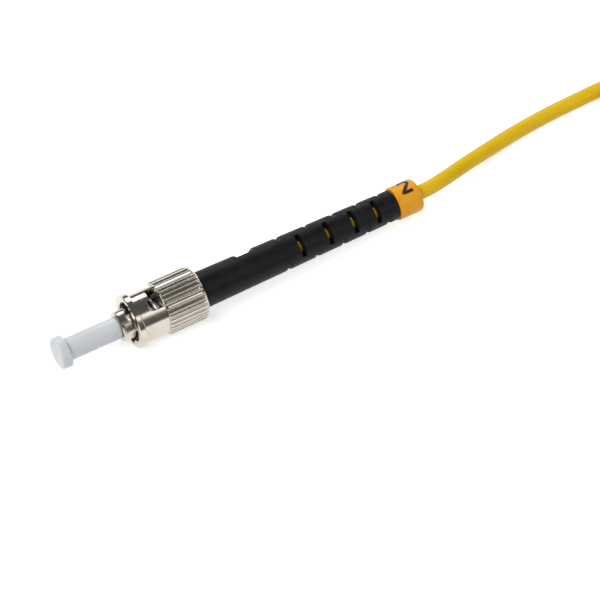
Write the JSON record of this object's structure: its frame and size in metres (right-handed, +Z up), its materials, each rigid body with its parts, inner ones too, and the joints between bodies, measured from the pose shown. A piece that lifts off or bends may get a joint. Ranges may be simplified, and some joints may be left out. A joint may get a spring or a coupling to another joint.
{
  "type": "st fibre connector",
  "caption": "Bayonet fibre connector with fluted nickel nut, dust cap on its ferrule, slotted black boot and orange marker ring on a yellow cord, coiled to a matching far connector",
  "frame": {"origin": "centre of the ferrule tip of the connector that is seen", "axes": "+X runs from the ferrule tip along the connector's axis to its cord, +Z is up as it lies on its nut, +Y is to the left when looking along +X"},
  "size_m": [0.2217, 0.042, 0.01],
  "materials": {
    "clear_cap": "translucent moulded plastic",
    "ceramic": "polished ceramic",
    "fibre_glass": "bare glass fibre",
    "nickel": "turned and nickel plated",
    "nickel_nut": "turned, fluted and nickel plated",
    "spring_steel": "drawn wire and stamped sheet",
    "aramid": "straight yarn",
    "white_plastic": "extruded buffer",
    "black_boot": "satin moulded elastomer",
    "orange_ring": "satin moulded plastic",
    "yellow_jacket": "satin extruded jacket",
    "tie_fabric": "woven wrap strap"
  },
  "bodies": {
    "connector": {"ferrule": "ceramic", "optical_fibre": "fibre_glass", "ferrule_holder": "nickel", "connector_body": "nickel", "coupling_spring": "spring_steel", "retaining_ring": "spring_steel", "crimp_sleeve": "nickel", "aramid_yarn": "aramid", "fibre_buffer": "white_plastic", "boot": "black_boot", "marker_ring": "orange_ring", "cord_run": "yellow_jacket", "cord_coil": "yellow_jacket", "coil_tie": "tie_fabric", "cord_far_run": "yellow_jacket", "far_ferrule": "ceramic", "far_optical_fibre": "fibre_glass", "far_ferrule_holder": "nickel", "far_connector_body": "nickel", "far_coupling_spring": "spring_steel", "far_retaining_ring": "spring_steel", "far_crimp_sleeve": "nickel", "far_aramid_yarn": "aramid", "far_fibre_buffer": "white_plastic", "far_boot": "black_boot", "far_marker_ring": "orange_ring"},
    "cap": {"dust_cap": "clear_cap"},
    "washer": {"thrust_washer": "spring_steel"},
    "nut": {"coupling_nut": "nickel_nut"},
    "far_cap": {"far_dust_cap": "clear_cap"},
    "far_washer": {"far_thrust_washer": "spring_steel"},
    "far_nut": {"far_coupling_nut": "nickel_nut"}
  },
  "joints": [
    {"name": "cap_slide", "type": "slide", "parent": "connector", "child": "cap", "axis": [-1, 0, 0], "range_m": [0, 0.012]},
    {"name": "nut_slide", "type": "slide", "parent": "connector", "child": "washer", "axis": [-1, 0, 0], "range_m": [0, 0.0023], "stiffness_N_per_m": 1500, "springref_m": -0.003, "deforming": ["coupling_spring"]},
    {"name": "nut_turn", "type": "hinge", "parent": "washer", "child": "nut", "pos_m": [0.0116, 0, 0], "axis": [1, 0, 0], "continuous": true},
    {"name": "far_cap_slide", "type": "slide", "parent": "connector", "child": "far_cap", "axis": [0.9511, -0.309, 0], "range_m": [0, 0.012]},
    {"name": "far_nut_slide", "type": "slide", "parent": "connector", "child": "far_washer", "axis": [0.9511, -0.309, 0], "range_m": [0, 0.0023], "stiffness_N_per_m": 1500, "springref_m": -0.003, "deforming": ["far_coupling_spring"]},
    {"name": "far_nut_turn", "type": "hinge", "parent": "far_washer", "child": "far_nut", "pos_m": [0.20536, -0.01604, 0], "axis": [-0.9511, 0.309, 0], "continuous": true}
  ]
}
